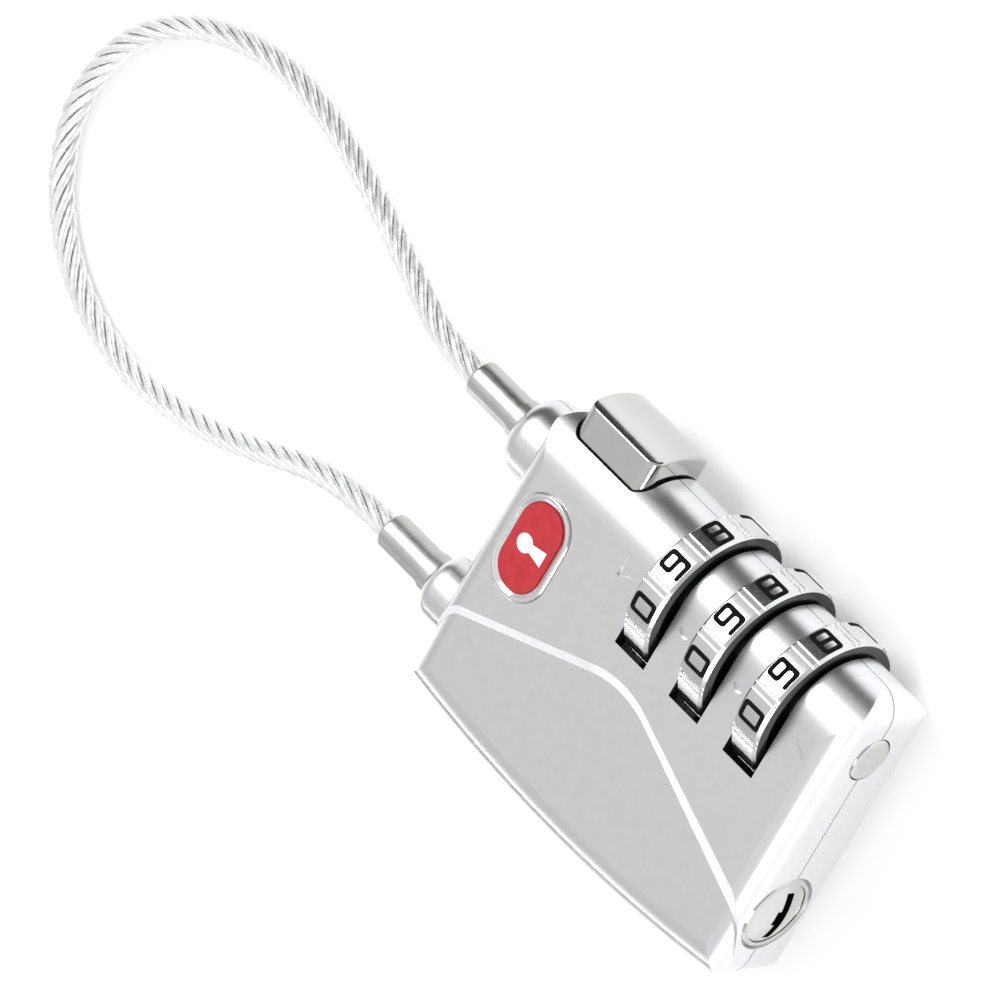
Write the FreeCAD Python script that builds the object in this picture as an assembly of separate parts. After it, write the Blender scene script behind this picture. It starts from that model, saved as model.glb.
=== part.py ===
import FreeCAD, Part

import math
import os

from FreeCAD import Vector, Rotation, Placement

# Cable luggage lock, lying on its back.  Millimetres.
# +X towards the number wheels and the opening button, +Y towards the cable loop,
# +Z out of the front face.  z = 0 is the back face; x = 0, y = 0 is its middle.

# ---------------------------------------------------------------- case
CASE_WIDTH = 35.5
CASE_LENGTH = 45.6
BACK_DEPTH = 6.6            # back face to the plane where the half-shells meet
FRONT_DEPTH = 6.0           # that plane to the front face
WALL = 1.4
CAVITY_BEVEL = 1.2          # inside, along the left of the front
SIDE_BULGE = 1.65           # how far the left side bows out
CORNER_R = 3.0              # corners seen from the front
RIGHT_FRONT_R = 5.9         # long rounding over the wheels' side
RIGHT_BACK_R = 5.9
LEFT_FRONT_R = 3.6
LEFT_BACK_R = 4.0
END_FRONT_R = 2.3           # front edge of both ends
END_BACK_R = 2.5
SEAM_GROOVE = 0.14          # depth and width of the line round the case where the shells meet

# the shallow curved step on the left of the front face
STEP_R = 23.0               # radius in the middle of its run, seen from the front
STEP_TURN = 20.3            # degrees that its straight ends lean away from the case's length
STEP_APEX_X = 0.4
STEP_APEX_Y = 0.8
STEP_DEPTH_TOP = 0.30       # step depth at the cable end
STEP_DEPTH_BOTTOM = 0.85    # step depth at the other end
STEP_FALL = 0.030           # fall of the lowered area towards the left, mm per mm
STEP_DRAFT = 1.8            # sideways run of the step's wall per mm of depth

# ---------------------------------------------------------------- number wheels
SHAFT_IN = 6.9              # wheels' axis, in from the right side
SHAFT_R = 1.5
SHAFT_CLEARANCE = 0.05
DIAL_R = 8.4
DIAL_WIDTH = 3.5
DIAL_EDGE = 0.3             # bevel of the rim's edges
DIAL_PITCH = 8.0
DIAL_FIRST_Y = 1.8          # middle of the wheel nearest the button
DIAL_COUNT = 3
DIGITS = 10
DIAL_REST_TURN = -6.3       # degrees from the digit on show to the upright
SLOT_WIDTH = 4.2
SLOT_CLEARANCE = 0.8        # round the wheel
DIAL_BORE_R = 2.35
DIAL_RECESS = 0.7
DIAL_RECESS_IN_R = 3.7
DIAL_RECESS_OUT_R = 7.0
RIDGE_HALF_GAP = 0.36       # two grooves between neighbouring digits
RIDGE_GROOVE_WIDTH = 0.26
RIDGE_GROOVE_DEPTH = 0.28
SLEEVE_R = 2.3
SLEEVE_LENGTH = 7.6
SLEEVE_START = -2.2         # from the wheel's middle
GATE_R = 2.75
GATE_START = 3.2            # from the wheel's middle
GATE_WIDTH = 1.2
GATE_FLAT = 2.35
KEY_WIDTH = 0.9
KEY_HEIGHT = 0.5

# ---------------------------------------------------------------- combination change
RESET_R = 2.4
RESET_CLEARANCE = 0.06
RESET_PROUD = 0.2
RESET_STROKE = 1.4
RESET_FLANGE_R = 3.0
RESET_FLANGE = 0.7
RESET_BLOCK = 2.8           # depth of the end block that guides it
RESET_BLOCK_WALL = 1.0
RESET_DOME = 0.45
SHAFT_WEB_Y = 7.5
SHAFT_WEB = 1.2
SHAFT_WEB_HALF = 3.4
SPRING_WEB_Y = 12.2
RESET_SPRING_CLOSED = 1.6   # spring length with the button pushed right in
SPRING_WEB = 1.0
SPRING_WEB_LEFT = 2.2       # clear of the toe block on the right
SPRING_WEB_RIGHT = 1.3

# ---------------------------------------------------------------- opening button and slide
BUTTON_START_Y = 10.7
BUTTON_END_Y = 20.7
BUTTON_HALF_HEIGHT = 4.3
BUTTON_PROUD = 2.4
BUTTON_DEPTH = 5.15
BUTTON_STROKE = 1.6
BUTTON_GAP = 0.3
BUTTON_CROWN = 0.95         # how far the pushed face bows out
BUTTON_EDGE_R = 0.3
BUTTON_CORNER_R = 1.3
LATCH_Y = 16.4
LATCH_THICK = 1.2
LATCH_HALF_HEIGHT = 3.9
SPINE_GAP = 1.65            # between the spine and the wheels
SPINE_THICK = 1.4
SPINE_HALF_HEIGHT = 2.0
FORK_THICK = 1.0
FORK_HALF_HEIGHT = 3.8
FORK_ROOT_HALF = 2.4        # lower where the case's roof is lower
FORK_HEAD_X = 3.6           # where the tall head starts, from the sleeve's axis
FORK_SLOT_HALF = 3.05
FORK_REACH = 2.6            # past the shaft's axis
BUTTON_SPRING_Y = 12.0
BUTTON_SPRING_LENGTH = 3.8
BUTTON_SPRING_R = 1.3
SPRING_SEAT = 1.0
SPRING_SEAT_HALF = 1.6

# ---------------------------------------------------------------- master key cylinder
LOCK_IN = 9.85              # axis, in from the left side
BARREL_R = 4.3
BARREL_WALL = 0.8
BARREL_LIP = 0.4            # bevel of its outer edge
BARREL_LENGTH = 10.7
BARREL_BLOCK_WALL = 1.1
CORE_CLEARANCE = 0.05
CORE_PAST_BARREL = 0.3      # so that the cam turns clear of the barrel's end
CORE_DOME = 0.8             # rise of the domed nose
CORE_PROUD = 0.7            # of its middle, past the case's end
KEYWAY_WIDTH = 1.0
KEYWAY_HEIGHT = 5.4
KEYWAY_DEPTH = 8.5
WARD_WIDTH = 1.6            # side groove of the keyway
WARD_DEPTH = 0.45
WAFER_COUNT = 5
WAFER_THICK = 0.5
WAFER_PITCH = 1.4
WAFER_FIRST = 2.6           # behind the front of the core
WAFER_WIDTH = 2.4
WAFER_HEIGHT = 5.4
CAM_THICK = 1.0
CAM_HUB_R = 1.9
CAM_REACH = 2.9

# ---------------------------------------------------------------- cable and its ends
TOE_IN = 7.3                # in from the right side
HEEL_IN = 9.55              # in from the left side
TOE_BOSS_R = 4.4
HEEL_BOSS_R = 3.6
BOSS_PROUD = 4.5
TOE_BOSS_ROUND = 2.0
HEEL_BOSS_ROUND = 1.6
TOE_BLOCK = 4.6             # how far the guide block reaches into the case
HEEL_BLOCK = 7.8
TOE_PIN_R = 1.8
TOE_PIN_TIP_Y = 13.8
TOE_GROOVE_R = 1.1
PIN_CLEARANCE = 0.05
HEEL_PIN_R = 1.6
HEEL_PIN_TIP_Y = 13.4
FERRULE_R = 1.95
FERRULE_LENGTH = 7.5
FERRULE_COLLAR_R = 2.15
FERRULE_COLLAR = 1.2
CABLE_R = 1.4
FERRULE_GAP = 0.2           # between the collar and the ferrule
SURFACE_Z = BACK_DEPTH - DIAL_R     # the lock stands on the wheel rims

# ---------------------------------------------------------------- emblem
BADGE_X = 4.6
BADGE_Y = 17.0
BADGE_WIDTH = 11.4
BADGE_HEIGHT = 7.2
BADGE_RIM = 0.9
BADGE_PROUD = 0.35
BADGE_POCKET = 0.5
ENAMEL_BELOW = 0.15         # inlay surface below the rim

MARK_DEPTH = 0.25
MARK_OFF = 0.7              # marks' line, left of the wheels' axis

# ---------------------------------------------------------------- derived
SEAM_Z = BACK_DEPTH
FRONT_Z = BACK_DEPTH + FRONT_DEPTH
RIGHT_X = CASE_WIDTH / 2
LEFT_X = -CASE_WIDTH / 2
END_Y = CASE_LENGTH / 2
BOSS_END_Y = END_Y + BOSS_PROUD
SHAFT_X = RIGHT_X - SHAFT_IN
LOCK_X = LEFT_X + LOCK_IN
TOE_X = RIGHT_X - TOE_IN
HEEL_X = LEFT_X + HEEL_IN
MARK_X = SHAFT_X - MARK_OFF
SLOT_R = DIAL_R + SLOT_CLEARANCE
CABLE_EXIT_Y = BOSS_END_Y + FERRULE_GAP + FERRULE_LENGTH
DIAL_YS = [DIAL_FIRST_Y - i * DIAL_PITCH for i in range(DIAL_COUNT)]
SHAFT_END = SPRING_WEB_Y - RESET_SPRING_CLOSED - RESET_STROKE
BUTTON_X = RIGHT_X + BUTTON_PROUD
SPINE_X = SHAFT_X - DIAL_R - SPINE_GAP - SPINE_THICK
FAR = 100.0

X_AXIS, Y_AXIS, Z_AXIS = Vector(1, 0, 0), Vector(0, 1, 0), Vector(0, 0, 1)


# ---------------------------------------------------------------- helpers
def box(x0, x1, y0, y1, z0, z1):
    return Part.makeBox(x1 - x0, y1 - y0, z1 - z0, Vector(x0, y0, z0))


def rod_y(radius, x, y0, y1, z=SEAM_Z):
    """Cylinder along Y from y0 to y1."""
    return Part.makeCylinder(radius, y1 - y0, Vector(x, y0, z), Y_AXIS)


def fuse(shapes):
    whole = shapes[0].multiFuse(shapes[1:]) if len(shapes) > 1 else shapes[0]
    return whole.removeSplitter()


def edges_along(shape, axis):
    """Straight edges parallel to an axis."""
    found = []
    for edge in shape.Edges:
        if not isinstance(edge.Curve, Part.Line):
            continue
        if abs(abs(edge.Curve.Direction.dot(axis)) - 1) < 1e-6:
            found.append(edge)
    return found


def coil(radius, wire_r, turns, length):
    """Compression spring along +Z from z = 0 to z = length, wire inside that height."""
    helix = Part.makeHelix((length - 2 * wire_r) / turns, length - 2 * wire_r, radius)
    section = Part.Wire(Part.Circle(Vector(radius, 0, 0), Y_AXIS, wire_r).toShape())
    spring = Part.Wire(helix).makePipeShell([section], True, True)
    spring.translate(Vector(0, 0, wire_r))
    return spring


def save(name, shape):
    if shape.ShapeType == "Compound" and len(shape.Solids) == 1:
        shape = shape.Solids[0]
    assert shape.isValid(), name
    shape.exportStep("parts/" + name + ".step")
    print("%-16s solids %2d  volume %9.2f" % (name, len(shape.Solids), shape.Volume))


# ---------------------------------------------------------------- case
def left_arc_radius():
    half = END_Y
    return (half * half + SIDE_BULGE * SIDE_BULGE) / (2 * SIDE_BULGE)


def lowered_form(inset):
    """The lower-lying left area as a solid: sloping top, rounded left edge and ends."""
    # the top is a plane that sinks towards -Y and towards -X
    rise = (STEP_DEPTH_BOTTOM - STEP_DEPTH_TOP) / CASE_LENGTH
    mean_depth = (STEP_DEPTH_BOTTOM + STEP_DEPTH_TOP) / 2
    above = Part.makeBox(4 * FAR, 4 * FAR, FAR, Vector(-2 * FAR, -2 * FAR, 0))
    tilt = Rotation(Z_AXIS, Vector(-STEP_FALL, -rise, 1))
    above.Placement = Placement(Vector(STEP_APEX_X, 0, FRONT_Z - mean_depth - inset), tilt)

    arc_r = left_arc_radius()
    disc = Part.makeCylinder(arc_r - inset, 3 * FRONT_Z, Vector(LEFT_X + arc_r, 0, -FRONT_Z), Z_AXIS)
    past_end = END_Y + CORNER_R
    disc = disc.common(box(-FAR, STEP_APEX_X, -past_end, past_end, -FAR, FAR)).cut(above)
    rim = [e for e in disc.Edges if isinstance(e.Curve, Part.Ellipse) and e.CenterOfMass.z > SEAM_Z]

    y1 = END_Y - inset
    block = box(-FAR, STEP_APEX_X, -y1, y1, -FRONT_Z, 2 * FRONT_Z).cut(above)
    if inset > 0:           # the cavity needs no more than a bevel here
        return block.common(disc.makeChamfer(CAVITY_BEVEL, rim))
    sloping = [e for e in block.Edges if e.BoundBox.XLength > FAR / 2 and e.CenterOfMass.z > SEAM_Z]
    return block.makeFillet(END_FRONT_R, sloping).common(disc.makeFillet(LEFT_FRONT_R, rim))


def step_cutter(inset):
    """The room above the lower-lying left area of the front face."""
    turn = math.radians(STEP_TURN)
    outlines = []
    for rise in (-FRONT_DEPTH, FRONT_DEPTH):
        # two slanting walls that would meet at this tip
        reach = (STEP_R + inset + rise * STEP_DRAFT) / math.cos(turn)
        tip = Vector(STEP_APEX_X - STEP_R + reach, STEP_APEX_Y, FRONT_Z - inset + rise)
        up = tip + Vector(-math.sin(turn), math.cos(turn), 0) * FAR
        down = tip + Vector(-math.sin(turn), -math.cos(turn), 0) * FAR
        outlines.append(Part.makePolygon([tip, up, down, tip]))
    wedge = Part.makeLoft(outlines, True, True)
    meeting = [e for e in wedge.Edges
               if e.BoundBox.ZLength > FRONT_DEPTH and abs(e.CenterOfMass.y - STEP_APEX_Y) < 1]
    return wedge.makeFillet(STEP_R + inset, meeting).cut(lowered_form(inset))


def case_block(inset):
    """The case's outer form, or the same form shrunk by inset on every side."""
    x1 = RIGHT_X - inset
    y1 = END_Y - inset
    z0, z1 = inset, FRONT_Z - inset
    arc_r = left_arc_radius()
    arc_x = LEFT_X + arc_r
    disc = Part.makeCylinder(arc_r - inset, z1 - z0, Vector(arc_x, 0, z0), Z_AXIS)

    plan = box(-FAR, x1, -y1, y1, z0, z1).common(disc)
    plan = plan.makeFillet(CORNER_R - inset, edges_along(plan, Z_AXIS))

    right = box(-FAR, x1, -FAR, FAR, z0, z1)
    for edge_z, radius in ((z1, RIGHT_FRONT_R), (z0, RIGHT_BACK_R)):
        edges = [e for e in edges_along(right, Y_AXIS)
                 if abs(e.CenterOfMass.x - x1) < 1e-6 and abs(e.CenterOfMass.z - edge_z) < 1e-6]
        right = right.makeFillet(radius - inset, edges)

    base = [e for e in disc.Edges
            if isinstance(e.Curve, Part.Circle) and abs(e.Curve.Center.z - z0) < 1e-6]
    left = disc.makeFillet(LEFT_BACK_R - inset, base)

    ends = box(-FAR, FAR, -y1, y1, z0, z1)
    front_edges = [e for e in edges_along(ends, X_AXIS) if abs(e.CenterOfMass.z - z1) < 1e-6]
    ends = ends.makeFillet(END_FRONT_R - min(inset, END_FRONT_R / 2), front_edges)
    if inset == 0:
        back_edges = [e for e in edges_along(ends, X_AXIS) if abs(e.CenterOfMass.z) < 1e-6]
        ends = ends.makeFillet(END_BACK_R, back_edges)

    return plan.common(right).common(left).common(ends).cut(step_cutter(inset))


def boss(x, radius, round_r, block):
    """Round collar where one end of the cable enters, with its guide block inside the case."""
    shape = rod_y(radius, x, END_Y - block, BOSS_END_Y)
    rim = [e for e in shape.Edges
           if isinstance(e.Curve, Part.Circle) and abs(e.Curve.Center.y - BOSS_END_Y) < 1e-6]
    return shape.makeFillet(round_r, rim)


POST_R = 1.6
POST_PIN_R = 0.8
POST_END_GAP = 0.6
POSTS = [(LEFT_X + 5.15, -5.5), (LEFT_X + 5.15, 11.5), (SPINE_X + 5.2, 12.3), (SPINE_X + 2.8, -END_Y + 3.8)]


def case_ribs():
    """Everything that stands up inside the case, at full height."""
    barrel_end = -END_Y + BARREL_LENGTH + 0.2
    shapes = [
        rod_y(BARREL_R + BARREL_BLOCK_WALL, LOCK_X, -END_Y, barrel_end),
        rod_y(RESET_R + RESET_BLOCK_WALL, SHAFT_X, -END_Y, -END_Y + RESET_BLOCK),
        box(SHAFT_X - SHAFT_WEB_HALF, SHAFT_X + SHAFT_WEB_HALF,
            SHAFT_WEB_Y, SHAFT_WEB_Y + SHAFT_WEB, 0, FRONT_Z),
        box(SHAFT_X - SPRING_WEB_LEFT, SHAFT_X + SPRING_WEB_RIGHT,
            SPRING_WEB_Y, SPRING_WEB_Y + SPRING_WEB, 0, FRONT_Z),
        box(SPINE_X - BUTTON_SPRING_LENGTH - SPRING_SEAT, SPINE_X - BUTTON_SPRING_LENGTH,
            BUTTON_SPRING_Y - SPRING_SEAT_HALF, BUTTON_SPRING_Y + SPRING_SEAT_HALF, 0, FRONT_Z),
    ]
    for x, y in POSTS:
        shapes.append(Part.makeCylinder(POST_R, FRONT_Z, Vector(x, y, 0), Z_AXIS))
    return shapes


def mark_cutters():
    """Shallow index marks on the zero line: two triangles and a half-round beside each gap."""
    z0 = FRONT_Z - MARK_DEPTH
    cutters = []
    for tip_y, base_y in ((5.3, 7.5), (-17.8, -20.0)):
        points = [Vector(MARK_X, tip_y, z0), Vector(MARK_X - 1.05, base_y, z0),
                  Vector(MARK_X + 1.05, base_y, z0), Vector(MARK_X, tip_y, z0)]
        cutters.append(Part.Face(Part.makePolygon(points)).extrude(Vector(0, 0, 1)))
    for upper in DIAL_YS[:-1]:
        middle = upper - DIAL_PITCH / 2
        round_mark = Part.makeCylinder(0.9, 1, Vector(MARK_X, middle, z0), Z_AXIS)
        cutters.append(round_mark.cut(box(MARK_X, MARK_X + 2, middle - 2, middle + 2, z0, z0 + 1)))
    return cutters


def badge_outline(grow, z0, z1):
    """Obround prism of the emblem, grown or shrunk on every side."""
    height = BADGE_HEIGHT + 2 * grow
    straight = BADGE_WIDTH - BADGE_HEIGHT
    core = box(BADGE_X - straight / 2, BADGE_X + straight / 2,
               BADGE_Y - height / 2, BADGE_Y + height / 2, z0, z1)
    ends = [Part.makeCylinder(height / 2, z1 - z0, Vector(BADGE_X + s * straight / 2, BADGE_Y, z0),
                              Z_AXIS) for s in (-1, 1)]
    return fuse([core] + ends)


def seam_groove():
    """Thin slab round the outside at the plane where the shells meet."""
    half = SEAM_GROOVE / 2
    slab = box(-FAR, FAR, -FAR, FAR, SEAM_Z - half, SEAM_Z + half)
    inside = [case_block(SEAM_GROOVE)]
    for x, radius, round_r, block in ((TOE_X, TOE_BOSS_R, TOE_BOSS_ROUND, TOE_BLOCK),
                                      (HEEL_X, HEEL_BOSS_R, HEEL_BOSS_ROUND, HEEL_BLOCK)):
        inside.append(boss(x, radius - SEAM_GROOVE, round_r, block))
    return slab.cut(fuse(inside))


def button_window():
    half = BUTTON_HALF_HEIGHT + BUTTON_GAP
    window = box(BUTTON_X - BUTTON_DEPTH - BUTTON_STROKE - 0.2, FAR,
                 BUTTON_START_Y - BUTTON_GAP, BUTTON_END_Y + BUTTON_GAP,
                 SEAM_Z - half, SEAM_Z + half)
    return window.makeFillet(BUTTON_CORNER_R + BUTTON_GAP, edges_along(window, X_AXIS))


def make_case():
    outer = case_block(0)
    inner = case_block(WALL)
    shell = outer.cut(inner)
    ribs = fuse(case_ribs()).common(outer)
    bosses = [boss(TOE_X, TOE_BOSS_R, TOE_BOSS_ROUND, TOE_BLOCK),
              boss(HEEL_X, HEEL_BOSS_R, HEEL_BOSS_ROUND, HEEL_BLOCK)]
    case = fuse([shell, ribs] + bosses)

    cutters = [rod_y(SLOT_R, SHAFT_X, y - SLOT_WIDTH / 2, y + SLOT_WIDTH / 2) for y in DIAL_YS]
    cutters += [
        button_window(),
        rod_y(BARREL_R, LOCK_X, -FAR, -END_Y + BARREL_LENGTH + 1),
        rod_y(RESET_R + RESET_CLEARANCE, SHAFT_X, -FAR, -END_Y + RESET_BLOCK + 1),
        rod_y(SHAFT_R + SHAFT_CLEARANCE, SHAFT_X, SHAFT_WEB_Y - 1, SHAFT_WEB_Y + SHAFT_WEB + 1),
        rod_y(TOE_PIN_R + PIN_CLEARANCE, TOE_X, END_Y - TOE_BLOCK - 1, FAR),
        rod_y(HEEL_PIN_R + PIN_CLEARANCE, HEEL_X, END_Y - HEEL_BLOCK - 1, FAR),
        badge_outline(0.05, FRONT_Z - BADGE_POCKET, FAR),
    ]
    for x, y in POSTS:
        cutters.append(Part.makeCylinder(POST_PIN_R, post_top(x) - WALL - POST_END_GAP,
                                         Vector(x, y, WALL), Z_AXIS))
    cutters += mark_cutters()
    cutters.append(seam_groove())
    for cutter in cutters:
        case = case.cut(cutter)
    back = case.common(box(-FAR, FAR, -FAR, FAR, -FAR, SEAM_Z))
    front = case.common(box(-FAR, FAR, -FAR, FAR, SEAM_Z, FAR))
    return front, back


def post_top(x):
    """Height of the case's inner roof over a post: lower under the sunken left area."""
    if x < STEP_APEX_X:
        return FRONT_Z - WALL - STEP_DEPTH_BOTTOM + STEP_FALL * (x - STEP_APEX_X)
    return FRONT_Z - WALL


def make_case_pins():
    """Studs pressed into both half-shells."""
    pins = []
    for x, y in POSTS:
        pins.append(Part.makeCylinder(POST_PIN_R, post_top(x) - WALL - POST_END_GAP,
                                      Vector(x, y, WALL), Z_AXIS))
    return Part.makeCompound(pins)


# ---------------------------------------------------------------- emblem
def make_badge():
    z0 = FRONT_Z - BADGE_POCKET
    rim = badge_outline(0, z0, FRONT_Z + BADGE_PROUD)
    hollow = badge_outline(-BADGE_RIM, z0 + 0.2, FAR)
    bezel = rim.cut(hollow)
    enamel = badge_outline(-BADGE_RIM, z0 + 0.2, FRONT_Z + BADGE_PROUD - ENAMEL_BELOW)
    return bezel, enamel


# ---------------------------------------------------------------- number wheels
def keys(y0, y1, grow):
    """Two driving keys on a sleeve, or their keyways in the wheel."""
    half = KEY_WIDTH / 2 + grow
    reach = SLEEVE_R + KEY_HEIGHT + grow
    return [box(SHAFT_X - half, SHAFT_X + half, y0, y1, SEAM_Z, SEAM_Z + reach),
            box(SHAFT_X - half, SHAFT_X + half, y0, y1, SEAM_Z - reach, SEAM_Z)]


def make_dial(y):
    y0, y1 = y - DIAL_WIDTH / 2, y + DIAL_WIDTH / 2
    wheel = rod_y(DIAL_R, SHAFT_X, y0, y1)
    rim = [e for e in wheel.Edges if isinstance(e.Curve, Part.Circle)]
    wheel = wheel.makeChamfer(DIAL_EDGE, rim)
    cutters = [rod_y(DIAL_BORE_R, SHAFT_X, y0 - 1, y1 + 1)]
    cutters += keys(y0 - 1, y1 + 1, DIAL_BORE_R - SLEEVE_R)
    for a, b in ((y0 - 1, y0 + DIAL_RECESS), (y1 - DIAL_RECESS, y1 + 1)):
        ring = rod_y(DIAL_RECESS_OUT_R, SHAFT_X, a, b)
        cutters.append(ring.cut(rod_y(DIAL_RECESS_IN_R, SHAFT_X, a, b)))
    step = 360.0 / DIGITS
    for i in range(DIGITS):
        for side in (-1, 1):
            middle = side * RIDGE_HALF_GAP
            groove = box(SHAFT_X + middle - RIDGE_GROOVE_WIDTH / 2,
                         SHAFT_X + middle + RIDGE_GROOVE_WIDTH / 2, y0 - 1, y1 + 1,
                         SEAM_Z + DIAL_R - RIDGE_GROOVE_DEPTH, SEAM_Z + DIAL_R + 1)
            groove.rotate(Vector(SHAFT_X, 0, SEAM_Z), Y_AXIS, DIAL_REST_TURN + (i + 0.5) * step)
            cutters.append(groove)
    return wheel.cut(Part.makeCompound(cutters[-2 * DIGITS:])).cut(fuse(cutters[:-2 * DIGITS]))


def make_sleeve(y):
    start = y + SLEEVE_START
    tube = rod_y(SLEEVE_R, SHAFT_X, start, start + SLEEVE_LENGTH)
    gate_y = y + GATE_START
    gate = rod_y(GATE_R, SHAFT_X, gate_y, gate_y + GATE_WIDTH)
    gate = gate.cut(box(SHAFT_X + GATE_FLAT, FAR, gate_y - 1, gate_y + GATE_WIDTH + 1, -FAR, FAR))
    key_parts = keys(y - DIAL_WIDTH / 2, y + DIAL_WIDTH / 2, 0)
    sleeve = fuse([tube, gate] + key_parts)
    return sleeve.cut(rod_y(SHAFT_R + SHAFT_CLEARANCE, SHAFT_X, start - 1, start + SLEEVE_LENGTH + 1))


def make_detent_spring():
    """Leaf strip on the back shell's floor with one upright finger beside each wheel."""
    strip_x = SHAFT_X - DIAL_R - 1.25
    strip = box(strip_x, strip_x + 1.1, DIAL_YS[-1] - 1.6, DIAL_YS[0] + 1.6, WALL, WALL + 0.35)
    parts = [strip]
    for y in DIAL_YS:
        parts.append(box(strip_x + 0.3, strip_x + 0.6, y - 0.9, y + 0.9, WALL, SEAM_Z + 2.0))
        parts.append(rod_y(0.45, strip_x + 0.45, y - 0.9, y + 0.9))
    return fuse(parts)


# ---------------------------------------------------------------- combination change
def make_reset():
    face_y = -END_Y - RESET_PROUD
    block_end = -END_Y + RESET_BLOCK
    stem = rod_y(RESET_R, SHAFT_X, face_y, block_end + 0.1)
    front = [e for e in stem.Edges
             if isinstance(e.Curve, Part.Circle) and abs(e.Curve.Center.y - face_y) < 1e-6]
    stem = stem.makeFillet(RESET_DOME, front)
    flange = rod_y(RESET_FLANGE_R, SHAFT_X, block_end + 0.1, block_end + 0.1 + RESET_FLANGE)
    button = fuse([stem, flange])
    shaft = rod_y(SHAFT_R, SHAFT_X, block_end + 0.1 + RESET_FLANGE, SHAFT_END)
    spring = coil(1.15, 0.22, 4, SPRING_WEB_Y - SHAFT_END)
    spring.rotate(Vector(0, 0, 0), X_AXIS, -90)
    spring.translate(Vector(SHAFT_X, SHAFT_END, SEAM_Z))
    return button, shaft, spring


# ---------------------------------------------------------------- opening button
def make_button():
    x0 = BUTTON_X - BUTTON_DEPTH
    cap = box(x0, BUTTON_X, BUTTON_START_Y, BUTTON_END_Y,
              SEAM_Z - BUTTON_HALF_HEIGHT, SEAM_Z + BUTTON_HALF_HEIGHT)
    cap = cap.makeFillet(BUTTON_CORNER_R, edges_along(cap, X_AXIS))
    crown_r = (BUTTON_HALF_HEIGHT ** 2 + BUTTON_CROWN ** 2) / (2 * BUTTON_CROWN)
    crown = rod_y(crown_r, BUTTON_X - crown_r, BUTTON_START_Y, BUTTON_END_Y)
    cap = cap.common(crown)
    outer = [e for e in cap.Edges if e.BoundBox.XMin > BUTTON_X - BUTTON_CROWN - 0.01]
    cap = cap.makeFillet(BUTTON_EDGE_R, outer)
    slide = make_locking_slide()
    return cap.cut(slide), slide


def make_locking_slide():
    """Latch plate with its hole for the toe pin, a spine and one fork round each sleeve."""
    x0 = BUTTON_X - BUTTON_DEPTH
    latch_end = LATCH_Y + LATCH_THICK
    plate = box(SPINE_X, x0 + 1.6, LATCH_Y, latch_end,
                SEAM_Z - LATCH_HALF_HEIGHT, SEAM_Z + LATCH_HALF_HEIGHT)
    clear = TOE_PIN_R + 0.3
    hole = fuse([rod_y(clear, TOE_X, LATCH_Y - 1, latch_end + 1),
                 box(TOE_X, TOE_X + BUTTON_STROKE + 0.2, LATCH_Y - 1, latch_end + 1,
                     SEAM_Z - clear, SEAM_Z + clear),
                 rod_y(clear, TOE_X + BUTTON_STROKE + 0.2, LATCH_Y - 1, latch_end + 1)])
    plate = plate.cut(hole)
    fork_y = GATE_START + (GATE_WIDTH - FORK_THICK) / 2
    spine = box(SPINE_X, SPINE_X + SPINE_THICK, DIAL_YS[-1] + fork_y, latch_end,
                SEAM_Z - SPINE_HALF_HEIGHT, SEAM_Z + SPINE_HALF_HEIGHT)
    parts = [plate, spine]
    for y in DIAL_YS:
        y0 = y + fork_y
        y1 = y0 + FORK_THICK
        root = box(SPINE_X, SHAFT_X, y0, y1, SEAM_Z - FORK_ROOT_HALF, SEAM_Z + FORK_ROOT_HALF)
        head = box(SHAFT_X - FORK_HEAD_X - 1, SHAFT_X + FORK_REACH, y0, y1,
                   SEAM_Z - FORK_HALF_HEIGHT, SEAM_Z + FORK_HALF_HEIGHT)
        slot = [rod_y(FORK_SLOT_HALF, SHAFT_X, y0 - 1, y1 + 1),
                rod_y(FORK_SLOT_HALF, SHAFT_X + BUTTON_STROKE, y0 - 1, y1 + 1),
                box(SHAFT_X, FAR, y0 - 1, y1 + 1, SEAM_Z - FORK_SLOT_HALF, SEAM_Z + FORK_SLOT_HALF)]
        parts.append(fuse([root, head]).cut(fuse(slot)))
    return fuse(parts)


def make_button_spring():
    spring = coil(BUTTON_SPRING_R, 0.25, 4, BUTTON_SPRING_LENGTH)
    spring.rotate(Vector(0, 0, 0), Y_AXIS, -90)
    spring.translate(Vector(SPINE_X, BUTTON_SPRING_Y, SEAM_Z))
    return spring


# ---------------------------------------------------------------- master key cylinder
def wafer_ys():
    return [-END_Y + WAFER_FIRST + i * WAFER_PITCH for i in range(WAFER_COUNT)]


def wafer_box(y, grow):
    return box(LOCK_X - WAFER_WIDTH / 2 - grow, LOCK_X + WAFER_WIDTH / 2 + grow,
               y - WAFER_THICK / 2 - grow, y + WAFER_THICK / 2 + grow,
               SEAM_Z - WAFER_HEIGHT / 2 - grow, SEAM_Z + WAFER_HEIGHT / 2 + grow)


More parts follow.
